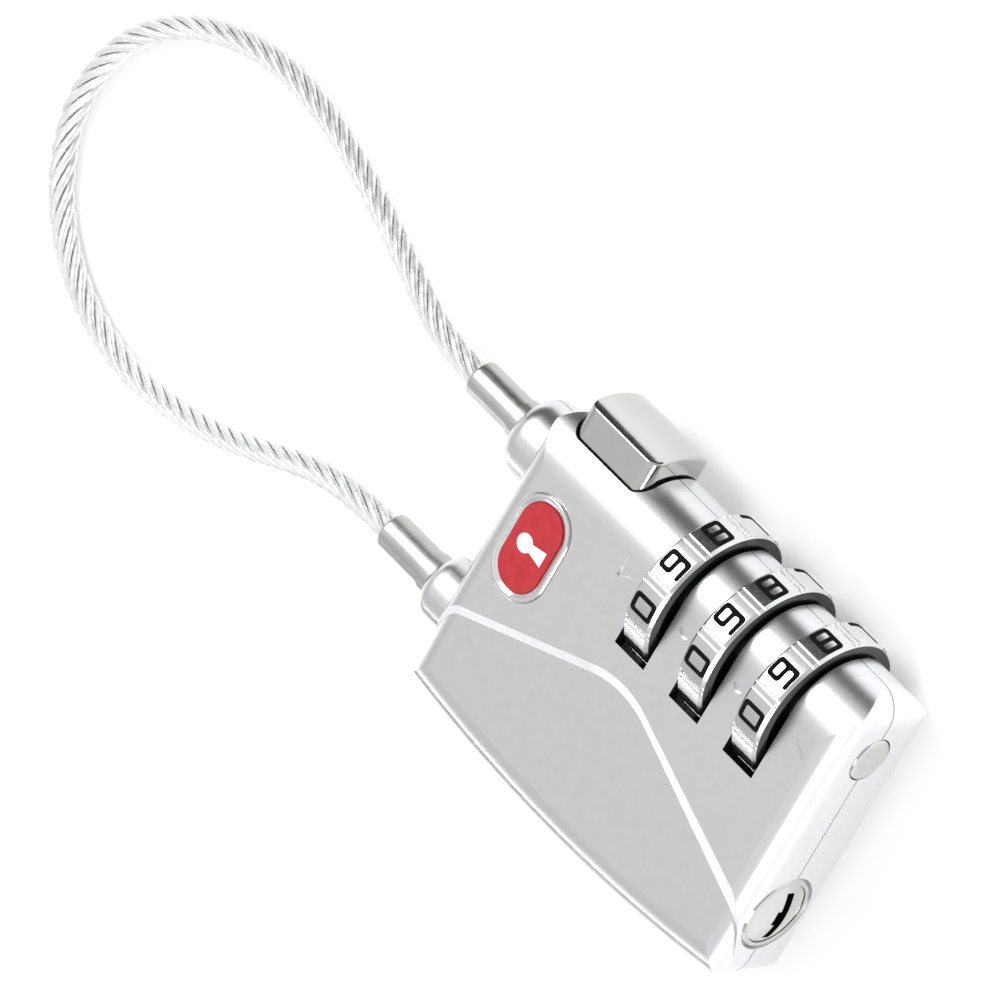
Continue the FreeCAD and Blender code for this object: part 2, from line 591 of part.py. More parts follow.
def make_key_cylinder():
    front = -END_Y
    back = -END_Y + BARREL_LENGTH
    bore_r = BARREL_R - BARREL_WALL
    core_r = bore_r - CORE_CLEARANCE

    barrel = rod_y(BARREL_R, LOCK_X, front, back)
    lip = [e for e in barrel.Edges
           if isinstance(e.Curve, Part.Circle) and abs(e.Curve.Center.y - front) < 1e-6]
    barrel = barrel.makeChamfer(BARREL_LIP, lip).cut(rod_y(bore_r, LOCK_X, front - 1, back + 1))

    cam_y = back + CORE_PAST_BARREL
    dome_r = (core_r ** 2 + CORE_DOME ** 2) / (2 * CORE_DOME)
    tip = front - CORE_PROUD
    core = rod_y(core_r, LOCK_X, tip, cam_y)
    core = core.common(Part.makeSphere(dome_r, Vector(LOCK_X, tip + dome_r, SEAM_Z))
                       .fuse(rod_y(core_r, LOCK_X, tip + CORE_DOME, cam_y)))
    core = core.cut(box(LOCK_X - KEYWAY_WIDTH / 2, LOCK_X + KEYWAY_WIDTH / 2,
                        tip - 1, front + KEYWAY_DEPTH,
                        SEAM_Z - KEYWAY_HEIGHT / 2, SEAM_Z + KEYWAY_HEIGHT / 2))
    core = core.cut(box(LOCK_X - KEYWAY_WIDTH / 2 - WARD_DEPTH, LOCK_X,
                        tip - 1, front + KEYWAY_DEPTH,
                        SEAM_Z - WARD_WIDTH / 2, SEAM_Z + WARD_WIDTH / 2))
    wafers = []
    springs = []
    spring_x = LOCK_X + WAFER_WIDTH / 2 + 0.6
    for y in wafer_ys():
        core = core.cut(wafer_box(y, 0.03))
        core = core.cut(Part.makeCylinder(0.55, 2.0, Vector(spring_x, y, SEAM_Z - 1.0), Z_AXIS))
        window = box(LOCK_X - KEYWAY_WIDTH / 2, LOCK_X + KEYWAY_WIDTH / 2, y - 1, y + 1,
                     SEAM_Z - 1.6, SEAM_Z + 1.6)
        wafers.append(wafer_box(y, 0).cut(window))
        spring = coil(0.38, 0.1, 4, 1.8)
        spring.translate(Vector(spring_x, y, SEAM_Z - 0.9))
        springs.append(spring)
    screw_hole = rod_y(0.6, LOCK_X, back - 1.6, FAR)
    core = core.cut(screw_hole)

    cam_end = cam_y + CAM_THICK
    cam = fuse([rod_y(CAM_HUB_R, LOCK_X, cam_y, cam_end),
                box(LOCK_X - CAM_REACH, LOCK_X, cam_y, cam_end, SEAM_Z - 1.1, SEAM_Z + 1.1)])
    cam = cam.cut(screw_hole)
    screw = fuse([rod_y(0.6, LOCK_X, back - 1.5, cam_end),
                  rod_y(1.2, LOCK_X, cam_end, cam_end + 0.6)])
    slot = box(LOCK_X - 0.15, LOCK_X + 0.15, cam_end + 0.3, cam_end + 1, -FAR, FAR)
    keyed = [core, Part.makeCompound(wafers), Part.makeCompound(springs)]
    for shape in keyed:
        shape.rotate(Vector(LOCK_X, 0, SEAM_Z), Y_AXIS, 90)     # the key goes in flat
    return [barrel] + keyed + [cam, screw.cut(slot)]


# ---------------------------------------------------------------- cable ends
def make_ferrule(x):
    y0 = CABLE_EXIT_Y - FERRULE_LENGTH
    body = rod_y(FERRULE_R, x, y0, CABLE_EXIT_Y)
    ends = [e for e in body.Edges
            if isinstance(e.Curve, Part.Circle) and abs(e.Curve.Center.y - CABLE_EXIT_Y) < 1e-6]
    body = body.makeFillet(0.35, ends)
    collar = rod_y(FERRULE_COLLAR_R, x, y0, y0 + FERRULE_COLLAR)
    spigot = rod_y(1.1, x, y0 - 1, y0 + 2.5)
    return fuse([body, collar]).cut(spigot)


def make_toe_pin():
    y1 = CABLE_EXIT_Y - FERRULE_LENGTH
    groove_y = LATCH_Y - 0.3
    pin = rod_y(TOE_PIN_R, TOE_X, TOE_PIN_TIP_Y, y1)
    tip = [e for e in pin.Edges
           if isinstance(e.Curve, Part.Circle) and abs(e.Curve.Center.y - TOE_PIN_TIP_Y) < 1e-6]
    pin = pin.makeChamfer(0.7, tip)
    neck = rod_y(TOE_PIN_R + 1, TOE_X, groove_y, groove_y + LATCH_THICK + 0.6)
    neck = neck.cut(rod_y(TOE_GROOVE_R, TOE_X, groove_y - 1, groove_y + LATCH_THICK + 2))
    return fuse([pin.cut(neck), rod_y(1.1, TOE_X, y1, y1 + 2.5)])


def make_heel_pin():
    y1 = CABLE_EXIT_Y - FERRULE_LENGTH
    groove_y = END_Y - HEEL_BLOCK - 0.8
    pin = rod_y(HEEL_PIN_R, HEEL_X, HEEL_PIN_TIP_Y, y1)
    groove = rod_y(HEEL_PIN_R + 1, HEEL_X, groove_y, groove_y + 0.6)
    groove = groove.cut(rod_y(1.1, HEEL_X, groove_y - 1, groove_y + 2))
    pin = fuse([pin.cut(groove), rod_y(1.1, HEEL_X, y1, y1 + 2.5)])
    clip = rod_y(2.7, HEEL_X, groove_y + 0.05, groove_y + 0.55)
    clip = clip.cut(rod_y(1.15, HEEL_X, groove_y - 1, groove_y + 2))
    clip = clip.cut(box(HEEL_X - 0.8, HEEL_X + 0.8, groove_y - 1, groove_y + 2, SEAM_Z, FAR))
    return pin, clip


# The cable leaves the toe ferrule along +Y, sinks to the surface, turns round in the loop and
# comes back up to the heel ferrule.  Corner points of the route, chosen by hand.
REST_Z = SURFACE_Z + CABLE_R
CABLE_ROUTE = [             # y counted from the ferrules' ends
    (TOE_X, 0.0, SEAM_Z),
    (TOE_X, 5.6, SEAM_Z),
    (12.6, 12.0, 6.0),
    (14.2, 19.6, 4.1),
    (15.3, 27.8, 1.9),
    (15.9, 36.2, 0.1),
    (15.2, 44.8, REST_Z),
    (11.7, 53.0, REST_Z),
    (4.8, 59.0, REST_Z),
    (-4.3, 60.2, REST_Z),
    (-12.8, 56.3, REST_Z),
    (-18.6, 49.0, REST_Z),
    (-20.6, 39.8, 0.0),
    (-18.9, 30.6, 1.4),
    (-15.6, 22.2, 3.5),
    (-11.3, 15.0, 5.8),
    (HEEL_X, 7.2, SEAM_Z),
    (HEEL_X, 0.0, SEAM_Z),
]
RUN_SHARE = 0.45            # share of the shorter run that each arc may use


def cable_path():
    """Straight runs joined by tangent arcs, each as large as its two runs allow."""
    points = [Vector(x, CABLE_EXIT_Y + y, z) for x, y, z in CABLE_ROUTE]
    edges = []
    radii = []
    here = points[0]
    for before, corner, after in zip(points, points[1:], points[2:]):
        into = (corner - before).normalize()
        out = (after - corner).normalize()
        shorter = min(corner.distanceToPoint(before), corner.distanceToPoint(after))
        half_turn = into.getAngle(out) / 2
        cut_back = RUN_SHARE * shorter
        radius = cut_back / math.tan(half_turn)
        radii.append(radius)
        start = corner - into * cut_back
        end = corner + out * cut_back
        inward = (out - into).normalize()
        middle = corner + inward * (radius / math.cos(half_turn) - radius)
        edges.append(Part.LineSegment(here, start).toShape())
        edges.append(Part.Arc(start, middle, end).toShape())
        here = end
    edges.append(Part.LineSegment(here, points[-1]).toShape())
    return Part.Wire(edges), radii


def make_cable():
    path, radii = cable_path()
    start = Vector(TOE_X, CABLE_EXIT_Y, SEAM_Z)
    section = Part.Wire(Part.Circle(start, Y_AXIS, CABLE_R).toShape())
    tube = path.makePipeShell([section], True, True)
    expected = math.pi * CABLE_R ** 2 * path.Length
    print("cable length %.1f, radii %s" % (path.Length, " ".join("%.0f" % r for r in radii)))
    print("cable volume %.1f, section times length %.1f" % (tube.Volume, expected))
    return tube


# ---------------------------------------------------------------- write everything
def main():
    os.makedirs("parts", exist_ok=True)

    front, back = make_case()
    save("front_shell", front)
    save("back_shell", back)
    save("case_pins", make_case_pins())

    bezel, enamel = make_badge()
    save("badge_bezel", bezel)
    save("badge_enamel", enamel)

    for number, y in enumerate(DIAL_YS, 1):
        save("dial_wheel_%d" % number, make_dial(y))
        save("clutch_sleeve_%d" % number, make_sleeve(y))
    save("detent_spring", make_detent_spring())

    button, shaft, spring = make_reset()
    save("reset_button", button)
    save("dial_shaft", shaft)
    save("reset_spring", spring)

    cap, slide = make_button()
    save("push_button", cap)
    save("locking_slide", slide)
    save("button_spring", make_button_spring())

    names = ("key_barrel", "key_core", "key_wafers", "wafer_springs", "key_cam", "cam_screw")
    for name, shape in zip(names, make_key_cylinder()):
        save(name, shape)

    save("toe_pin", make_toe_pin())
    save("toe_ferrule", make_ferrule(TOE_X))
    heel_pin, clip = make_heel_pin()
    save("heel_pin", heel_pin)
    save("heel_clip", clip)
    save("heel_ferrule", make_ferrule(HEEL_X))
    save("cable", make_cable())


main()
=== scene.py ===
"""Looks of the cable luggage lock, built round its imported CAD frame. Metres, lock on its back, front up."""

import bmesh
import bpy
import math
from mathutils import Matrix, Vector


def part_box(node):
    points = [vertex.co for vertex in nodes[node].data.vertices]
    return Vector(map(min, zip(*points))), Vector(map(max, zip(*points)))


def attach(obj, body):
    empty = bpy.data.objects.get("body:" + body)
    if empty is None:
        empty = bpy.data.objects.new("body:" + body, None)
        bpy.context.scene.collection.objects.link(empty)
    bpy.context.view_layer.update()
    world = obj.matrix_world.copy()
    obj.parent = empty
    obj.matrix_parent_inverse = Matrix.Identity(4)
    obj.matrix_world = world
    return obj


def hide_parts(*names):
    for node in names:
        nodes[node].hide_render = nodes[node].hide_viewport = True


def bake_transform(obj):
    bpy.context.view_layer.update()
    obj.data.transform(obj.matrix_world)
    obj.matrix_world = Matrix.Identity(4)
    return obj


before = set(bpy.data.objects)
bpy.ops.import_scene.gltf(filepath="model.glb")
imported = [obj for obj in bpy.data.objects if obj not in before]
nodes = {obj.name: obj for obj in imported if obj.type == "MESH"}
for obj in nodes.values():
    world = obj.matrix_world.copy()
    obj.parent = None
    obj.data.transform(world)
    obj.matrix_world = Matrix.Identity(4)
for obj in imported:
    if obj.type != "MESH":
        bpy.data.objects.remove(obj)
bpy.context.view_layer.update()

MM = 0.001
FLOOR_Z = -1.8 * MM          # the wheels' rims and the cable touch the surface here

# ---------------------------------------------------------------- camera
CAM_AZIMUTH = math.radians(43.08)
CAM_ELEVATION = math.radians(50.41)
CAM_ROLL = math.radians(-95.41)
CAM_TARGET = Vector((0.00594, 0.0233, 0.01275))
CAM_DISTANCE = 1.5
CAM_LENS = 577.64            # mm on a 36 mm sensor


def make_camera():
    ca, sa = math.cos(CAM_AZIMUTH), math.sin(CAM_AZIMUTH)
    ce, se = math.cos(CAM_ELEVATION), math.sin(CAM_ELEVATION)
    back = Vector((sa * ce, -ca * ce, se))
    level = Vector((ca, sa, 0.0))
    upright = back.cross(level)
    right = math.cos(CAM_ROLL) * level + math.sin(CAM_ROLL) * upright
    up = back.cross(right)
    data = bpy.data.cameras.new("camera")
    data.sensor_width = 36.0
    data.lens = CAM_LENS
    data.clip_start = 0.05
    data.clip_end = 20.0
    camera = bpy.data.objects.new("camera", data)
    rotation = Matrix((right, up, back)).transposed()
    camera.matrix_world = Matrix.Translation(CAM_TARGET + back * CAM_DISTANCE) @ rotation.to_4x4()
    bpy.context.scene.collection.objects.link(camera)
    bpy.context.scene.camera = camera


make_camera()


# ---------------------------------------------------------------- helpers
def link(obj):
    bpy.context.scene.collection.objects.link(obj)
    return obj


def mesh_piece(name, points, faces, material, smooth=True):
    mesh = bpy.data.meshes.new(name)
    mesh.from_pydata([tuple(p) for p in points], [], faces)
    mesh.validate()
    mesh.materials.append(material)
    if smooth:
        for polygon in mesh.polygons:
            polygon.use_smooth = True
    return link(bpy.data.objects.new(name, mesh))


def new_material(name):
    material = bpy.data.materials.new(name)
    material.use_nodes = True
    tree = material.node_tree
    return material, tree, tree.nodes["Principled BSDF"]


def node(tree, kind, **values):
    made = tree.nodes.new(kind)
    for key, value in values.items():
        if hasattr(made, key):
            setattr(made, key, value)
        else:
            made.inputs[key].default_value = value
    return made


def noise(tree, scale, detail=2.0, stretch=None):
    """A noise value in the object's own coordinates, its features about 1/scale metres wide."""
    where = tree.nodes.new("ShaderNodeTexCoord")
    source = where.outputs["Object"]
    if stretch:
        mapping = node(tree, "ShaderNodeMapping")
        mapping.inputs["Scale"].default_value = stretch
        tree.links.new(source, mapping.inputs["Vector"])
        source = mapping.outputs["Vector"]
    made = node(tree, "ShaderNodeTexNoise", Scale=scale, Detail=detail)
    tree.links.new(source, made.inputs["Vector"])
    return made.outputs["Fac"]


def remap(tree, source, low, high, start=0.0, end=1.0):
    made = tree.nodes.new("ShaderNodeMapRange")
    made.inputs["From Min"].default_value = start
    made.inputs["From Max"].default_value = end
    made.inputs["To Min"].default_value = low
    made.inputs["To Max"].default_value = high
    tree.links.new(source, made.inputs["Value"])
    return made.outputs["Result"]


def bump(tree, bsdf, source, strength, distance):
    made = node(tree, "ShaderNodeBump", Strength=strength, Distance=distance)
    tree.links.new(source, made.inputs["Height"])
    tree.links.new(made.outputs["Normal"], bsdf.inputs["Normal"])


def two_tone(tree, bsdf, low, high, source):
    """Base colour that wanders between two values."""
    mix = node(tree, "ShaderNodeMix", data_type="RGBA")
    mix.inputs["A"].default_value = (*low, 1)
    mix.inputs["B"].default_value = (*high, 1)
    tree.links.new(source, mix.inputs["Factor"])
    tree.links.new(mix.outputs["Result"], bsdf.inputs["Base Color"])


def metal(name, colour, rough_low, rough_high, grain, grain_depth, stretch=None, shade=0.04):
    """A metal with grain: colour varies by shade and roughness between two values, over a fine bump."""
    material, tree, bsdf = new_material(name)
    bsdf.inputs["Metallic"].default_value = 1.0
    fine = noise(tree, grain, 3.0, stretch)
    broad = noise(tree, grain * 0.12, 3.0)
    low = [c * (1 - shade) for c in colour]
    high = [min(1.0, c * (1 + shade)) for c in colour]
    two_tone(tree, bsdf, low, high, remap(tree, broad, 0.0, 1.0, 0.3, 0.7))
    tree.links.new(remap(tree, fine, rough_low, rough_high, 0.3, 0.7), bsdf.inputs["Roughness"])
    bump(tree, bsdf, fine, 0.35, grain_depth)
    return material


def dress(material, *names):
    for name in names:
        mesh = nodes[name].data
        mesh.materials.clear()
        mesh.materials.append(material)


# ---------------------------------------------------------------- materials
case_metal = metal("case_metal", (0.78, 0.78, 0.79), 0.27, 0.35, 9000.0, 0.00001, shade=0.015)
chrome = metal("polished_chrome", (0.60, 0.60, 0.59), 0.09, 0.15, 2600.0, 0.000003, shade=0.02)
plated = metal("wheel_plating", (0.70, 0.70, 0.70), 0.19, 0.27, 3000.0, 0.000006, shade=0.03)
steel = metal("machined_steel", (0.60, 0.60, 0.60), 0.22, 0.36, 3500.0, 0.000006, (1, 6, 1))
spring = metal("spring_wire", (0.52, 0.52, 0.54), 0.20, 0.34, 4000.0, 0.000004, (1, 4, 1))
brass = metal("machined_brass", (0.78, 0.60, 0.28), 0.20, 0.34, 3500.0, 0.000006, (1, 6, 1))
ferrule_metal = metal("crimped_ferrule", (0.56, 0.56, 0.55), 0.30, 0.44, 4200.0, 0.00001, (1, 0.25, 1))
rope_wire = metal("rope_wire", (0.86, 0.86, 0.86), 0.26, 0.38, 4000.0, 0.000006, shade=0.05)
rope_wire.node_tree.nodes["Principled BSDF"].inputs["Metallic"].default_value = 0.55


def math_node(tree, operation, a, b=None):
    made = node(tree, "ShaderNodeMath", operation=operation)
    for socket, value in zip(made.inputs, (a, b)):
        if value is None:
            continue
        if isinstance(value, (int, float)):
            socket.default_value = value
        else:
            tree.links.new(value, socket)
    return made.outputs["Value"]


def paint_black_shade(material, shade_where):
    """Painted black shade over part of a metal, where the mask says 1."""
    tree = material.node_tree
    bsdf = tree.nodes["Principled BSDF"]
    shade_mask = shade_where(tree)
    colour = bsdf.inputs["Base Color"].links[0].from_socket
    mix = node(tree, "ShaderNodeMix", data_type="RGBA")
    tree.links.new(shade_mask, mix.inputs["Factor"])
    tree.links.new(colour, mix.inputs["A"])
    # the colour of the painted shade, near black and not metallic
    mix.inputs["B"].default_value = (0.012, 0.012, 0.013, 1)
    tree.links.new(mix.outputs["Result"], bsdf.inputs["Base Color"])
    tree.links.new(math_node(tree, "SUBTRACT", 1.0, shade_mask), bsdf.inputs["Metallic"])


def shaded_wheel_sides(tree):
    """1 on faces that look along the wheels' axis, painted black as the shade of the gap between wheel and
    slot.
    """
    where = tree.nodes.new("ShaderNodeTexCoord")
    split = tree.nodes.new("ShaderNodeSeparateXYZ")
    tree.links.new(where.outputs["Normal"], split.inputs["Vector"])
    return math_node(tree, "GREATER_THAN", math_node(tree, "ABSOLUTE", split.outputs["Y"]), 0.9)


SHAFT_X = 10.85 * MM
SHAFT_Z = 6.6 * MM
DIAL_R = 8.4 * MM
DIAL_YS = [1.8 * MM, -6.2 * MM, -14.2 * MM]
SLOT_R = 9.2 * MM
SLOT_HALF = 2.1 * MM
EDGE = 0.03 * MM


def shaded_slot_walls(tree):
    """1 inside the case's wheel slots, where black is painted as the shade inside them."""
    where = tree.nodes.new("ShaderNodeTexCoord")
    split = tree.nodes.new("ShaderNodeSeparateXYZ")
    tree.links.new(where.outputs["Object"], split.inputs["Vector"])
    x = math_node(tree, "SUBTRACT", split.outputs["X"], SHAFT_X)
    z = math_node(tree, "SUBTRACT", split.outputs["Z"], SHAFT_Z)
    square = math_node(tree, "ADD", math_node(tree, "MULTIPLY", x, x), math_node(tree, "MULTIPLY", z, z))
    near = math_node(tree, "LESS_THAN", square, (SLOT_R + EDGE) ** 2)
    inside = None
    for y in DIAL_YS:
        away = math_node(tree, "ABSOLUTE", math_node(tree, "SUBTRACT", split.outputs["Y"], y))
        this = math_node(tree, "LESS_THAN", away, SLOT_HALF + EDGE)
        inside = this if inside is None else math_node(tree, "MAXIMUM", inside, this)
    return math_node(tree, "MULTIPLY", near, inside)


# painted shade: the wheels' side faces painted black as the shade of the gap between each wheel and its slot
paint_black_shade(plated, shaded_wheel_sides)
# painted shade: the case's slot walls painted black as the shade inside the wheel slots
paint_black_shade(case_metal, shaded_slot_walls)

# ---------------------------------------------------------------- cable
CABLE_R = 1.4 * MM
CABLE_POINTS = [             # the same route as the CAD tube's, from the pull-out end to the captive end
    (10.45, 35.0, 6.6), (10.45, 40.6, 6.6), (12.6, 47.0, 6.0), (14.2, 54.6, 4.1), (15.3, 62.8, 1.9),
    (15.9, 71.2, 0.1), (15.2, 79.8, -0.4), (11.7, 88.0, -0.4), (4.8, 94.0, -0.4), (-4.3, 95.2, -0.4),
    (-12.8, 91.3, -0.4), (-18.6, 84.0, -0.4), (-20.6, 74.8, 0.0), (-18.9, 65.6, 1.4), (-15.6, 57.2, 3.5),
    (-11.3, 50.0, 5.8), (-8.2, 42.2, 6.6), (-8.2, 35.0, 6.6),
]
STRANDS = 6
STRAND_R = CABLE_R / 3 * 0.97
HELIX_R = CABLE_R * 2 / 3 * 0.98
LAY_LENGTH = 13.3 * MM       # one turn of a strand round the rope
WIRES = 6                    # outer wires of a strand
WIRE_LAY = 5.0 * MM
RING_STEP = 0.42 * MM


def cable_line():
    """The cable's centreline: points read from one smooth spline through the route."""
    curve = bpy.data.curves.new("cable_route", "CURVE")
    curve.dimensions = "3D"
    spline = curve.splines.new("NURBS")
    spline.points.add(len(CABLE_POINTS) - 1)
    for point, at in zip(spline.points, CABLE_POINTS):
        point.co = (at[0] * MM, at[1] * MM, at[2] * MM, 1.0)
    spline.order_u = 3
    spline.use_endpoint_u = True
    spline.resolution_u = 24
    holder = bpy.data.objects.new("cable_route", curve)
    mesh = bpy.data.meshes.new_from_object(holder)
    line = [v.co.copy() for v in mesh.vertices]
    bpy.data.objects.remove(holder)
    bpy.data.meshes.remove(mesh)
    bpy.data.curves.remove(curve)
    return line


def even_steps(line, step):
    """Points a fixed distance apart along a line."""
    total = sum((b - a).length for a, b in zip(line, line[1:]))
    count = round(total / step)
    gap = total / count
    out, left = [line[0].copy()], gap
    for a, b in zip(line, line[1:]):
        run = (b - a).length
        at = left
        while at <= run + 1e-12:
            out.append(a.lerp(b, min(1.0, at / run)))
            at += gap
        left = at - run
    if len(out) <= count:
        out.append(line[-1].copy())
    return out[:count + 1], gap


def turning_frames(line):
    """Two cross directions at each point, carried along the line without twist."""
    frames = []
    side = Vector((0, 0, 1))
    for i in range(len(line)):
        ahead = line[min(i + 1, len(line) - 1)] - line[max(i - 1, 0)]
        ahead.normalize()
        side = (side - ahead * side.dot(ahead)).normalized()
        frames.append((side.copy(), ahead.cross(side)))
    return frames


def tube(rings, closed_ends=True):
    """Points and faces of a tube through rings of equal count."""
    count = len(rings[0])
    points = [p for ring in rings for p in ring]
    faces = []
    for i in range(len(rings) - 1):
        for j in range(count):
            k = (j + 1) % count
            faces.append((i * count + j, i * count + k, (i + 1) * count + k, (i + 1) * count + j))
    if closed_ends:
        faces.append(tuple(reversed(range(count))))
        faces.append(tuple(range(len(points) - count, len(points))))
    return points, faces


def make_cable():
    raw = cable_line()
    line, gap = even_steps(raw, RING_STEP)
    frames = turning_frames(line)
    points, faces = [], []
    sides = WIRES * 3
    for s in range(STRANDS):
        rings = []
        for i, (at, (u, v)) in enumerate(zip(line, frames)):
            turn = 2 * math.pi * (s / STRANDS + i * gap / LAY_LENGTH)
            twist = -2 * math.pi * i * gap / WIRE_LAY
            centre = at + (u * math.cos(turn) + v * math.sin(turn)) * HELIX_R
            ring = []
            for j in range(sides):
                angle = 2 * math.pi * j / sides
                reach = STRAND_R * (0.93 + 0.07 * math.cos(WIRES * angle))
                spot = angle + turn + twist
                ring.append(centre + (u * math.cos(spot) + v * math.sin(spot)) * reach)
            rings.append(ring)
        some, more = tube(rings)
        faces += [tuple(k + len(points) for k in face) for face in more]
        points += some
    strands = mesh_piece("cable_strands", points, faces, rope_wire)
    length = sum((b - a).length for a, b in zip(line, line[1:]))
    return strands, line, length


strands, cable_points, cable_length = make_cable()
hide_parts("cable")
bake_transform(strands)

# ---------------------------------------------------------------- CAD nodes
dress(case_metal, "front_shell", "back_shell")
dress(plated, "dial_wheel_1", "dial_wheel_2", "dial_wheel_3")
dress(chrome, "push_button", "reset_button", "key_barrel", "key_core")
dress(steel, "case_pins", "heel_pin", "toe_pin", "dial_shaft", "locking_slide", "cam_screw",
      "clutch_sleeve_1", "clutch_sleeve_2", "clutch_sleeve_3")
dress(spring, "detent_spring", "reset_spring", "button_spring", "wafer_springs", "heel_clip")
dress(brass, "key_wafers", "key_cam")
dress(ferrule_metal, "toe_ferrule", "heel_ferrule")


def enamel(name, low, high, roughness):
    """Glossy resin, its depth of colour slightly uneven."""
    material, tree, bsdf = new_material(name)
    two_tone(tree, bsdf, low, high, remap(tree, noise(tree, 700.0), 0.0, 1.0, 0.3, 0.7))
    bsdf.inputs["Roughness"].default_value = roughness
    bsdf.inputs["Coat Weight"].default_value = 0.25
    bsdf.inputs["Coat Roughness"].default_value = 0.05
    bump(tree, bsdf, noise(tree, 1500.0), 0.1, 0.00001)
    return material


def matt_paint(name, low, high):
    """Flat paint without a sheen."""
    material, tree, bsdf = new_material(name)
    two_tone(tree, bsdf, low, high, remap(tree, noise(tree, 1500.0), 0.0, 1.0, 0.3, 0.7))
    bsdf.inputs["Roughness"].default_value = 0.85
    bsdf.inputs["Specular IOR Level"].default_value = 0.1
    return material


red_enamel = enamel("red_enamel", (0.46, 0.012, 0.020), (0.56, 0.022, 0.032), 0.35)
white_enamel = enamel("white_enamel", (0.85, 0.85, 0.84), (0.92, 0.92, 0.92), 0.3)
black_inlay = matt_paint("black_inlay", (0.004, 0.004, 0.004), (0.010, 0.010, 0.010))
dress(red_enamel, "badge_enamel")

# ---------------------------------------------------------------- digits on the wheels
DIGIT_W = 2.25 * MM
DIGIT_H = 2.85 * MM
STROKE = 0.50 * MM
OUTER_ROUND = 0.5 * MM
INNER_ROUND = 0.18 * MM
INLAY_TOP = DIAL_R + 0.008 * MM
INLAY_BOTTOM = DIAL_R - 0.05 * MM
DIGIT_STEP = math.radians(36)
SHOWN_ZERO = math.radians(-6.3)     # the zero's place, from straight up


def rounded(corners, radius):
    """A closed outline with its corners rounded."""
    out = []
    count = len(corners)
    for i, corner in enumerate(corners):
        a = Vector(corners[i - 1]) - Vector(corner)
        b = Vector(corners[(i + 1) % count]) - Vector(corner)
        cut = min(radius, a.length * 0.49, b.length * 0.49)
        start = Vector(corner) + a.normalized() * cut
        end = Vector(corner) + b.normalized() * cut
        for k in range(5):
            t = k / 4
            out.append(start * (1 - t) ** 2 + Vector(corner) * 2 * t * (1 - t) + end * t * t)
    return out


def digit_outlines(digit):
    """Outlines of a squared digit about its middle, x to its right and y up."""
    w, h, t = DIGIT_W / 2, DIGIT_H / 2, STROKE
    m = t / 2
    frame_shape = [(-w, h), (w, h), (w, -h), (-w, -h)]
    upper = [(-w + t, h - t), (w - t, h - t), (w - t, m), (-w + t, m)]
    lower = [(-w + t, -m), (w - t, -m), (w - t, -h + t), (-w + t, -h + t)]
    middle = [(-w + t, h - t), (w - t, h - t), (w - t, -h + t), (-w + t, -h + t)]
    nine = [(-w, h), (w, h), (w, -h), (-w, -h), (-w, -h + t), (w - t, -h + t), (w - t, -m), (-w, -m)]
    five = [(-w, h), (w, h), (w, h - t), (-w + t, h - t), (-w + t, m), (w, m), (w, -h), (-w, -h),
            (-w, -h + t), (w - t, -h + t), (w - t, -m), (-w, -m)]
    shapes = {
        0: (frame_shape, [middle]),
        1: ([(-w / 2, h), (m, h), (m, -h), (-m, -h), (-m, h - t), (-w / 2, h - t)], []),
        2: ([(-x, y) for x, y in reversed(five)], []),
        3: ([(-w, h), (w, h), (w, -h), (-w, -h), (-w, -h + t), (w - t, -h + t), (w - t, -m), (-w / 2, -m),
             (-w / 2, m), (w - t, m), (w - t, h - t), (-w, h - t)], []),
        4: ([(-w, h), (-w + t, h), (-w + t, m), (w - t, m), (w - t, h), (w, h), (w, -h), (w - t, -h),
             (w - t, -m), (-w, -m)], []),
        5: (five, []),
        6: ([(-x, -y) for x, y in nine], [[(-x, -y) for x, y in upper]]),
        7: ([(-w, h), (w, h), (w, -h), (w - t, -h), (w - t, h - t), (-w, h - t)], []),
        8: (frame_shape, [upper, lower]),
        9: (nine, [upper]),
    }
    outer, holes = shapes[digit]
    return [rounded(outer, OUTER_ROUND)] + [rounded(hole, INNER_ROUND) for hole in holes]


def filled(outlines, depth):
    """A flat plate of the given outlines, as a bmesh from z = -depth to z = 0."""
    curve = bpy.data.curves.new("outline", "CURVE")
    curve.dimensions = "2D"
    curve.fill_mode = "BOTH"
    curve.extrude = depth / 2
    for outline in outlines:
        spline = curve.splines.new("POLY")
        spline.points.add(len(outline) - 1)
        for point, at in zip(spline.points, outline):
            point.co = (at[0], at[1], 0.0, 1.0)
        spline.use_cyclic_u = True
    holder = bpy.data.objects.new("outline", curve)
    mesh = bpy.data.meshes.new_from_object(holder)
    plate = bmesh.new()
    plate.from_mesh(mesh)
    bmesh.ops.remove_doubles(plate, verts=plate.verts, dist=1e-7)
    bmesh.ops.translate(plate, verts=plate.verts, vec=(0, 0, -depth / 2))
    bpy.data.objects.remove(holder)
    bpy.data.meshes.remove(mesh)
    bpy.data.curves.remove(curve)
    return plate


def make_digits(index, centre_y):
    whole = bmesh.new()
    for digit in range(10):
        plate = filled(digit_outlines(digit), INLAY_TOP - INLAY_BOTTOM)
        steps = 10
        for k in range(1, steps):
            x = -DIGIT_W / 2 + DIGIT_W * k / steps
            bmesh.ops.bisect_plane(plate, geom=plate.verts[:] + plate.edges[:] + plate.faces[:], dist=1e-8,
                                   plane_co=(x, 0, 0), plane_no=(1, 0, 0))
        middle = SHOWN_ZERO - digit * DIGIT_STEP
        for vert in plate.verts:
            angle = middle + vert.co.x / DIAL_R
            reach = INLAY_TOP + vert.co.z
            vert.co = Vector((SHAFT_X + reach * math.sin(angle), centre_y + vert.co.y,
                              SHAFT_Z + reach * math.cos(angle)))
        part = bpy.data.meshes.new("digit")
        plate.to_mesh(part)
        plate.free()
        whole.from_mesh(part)
        bpy.data.meshes.remove(part)
    mesh = bpy.data.meshes.new(f"digits_{index}")
    whole.to_mesh(mesh)
    whole.free()
    mesh.materials.append(black_inlay)
    digits = link(bpy.data.objects.new(f"digits_{index}", mesh))
    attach(digits, f"dial_{index}")


for dial, dial_y in enumerate(DIAL_YS, start=1):
    make_digits(dial, dial_y)

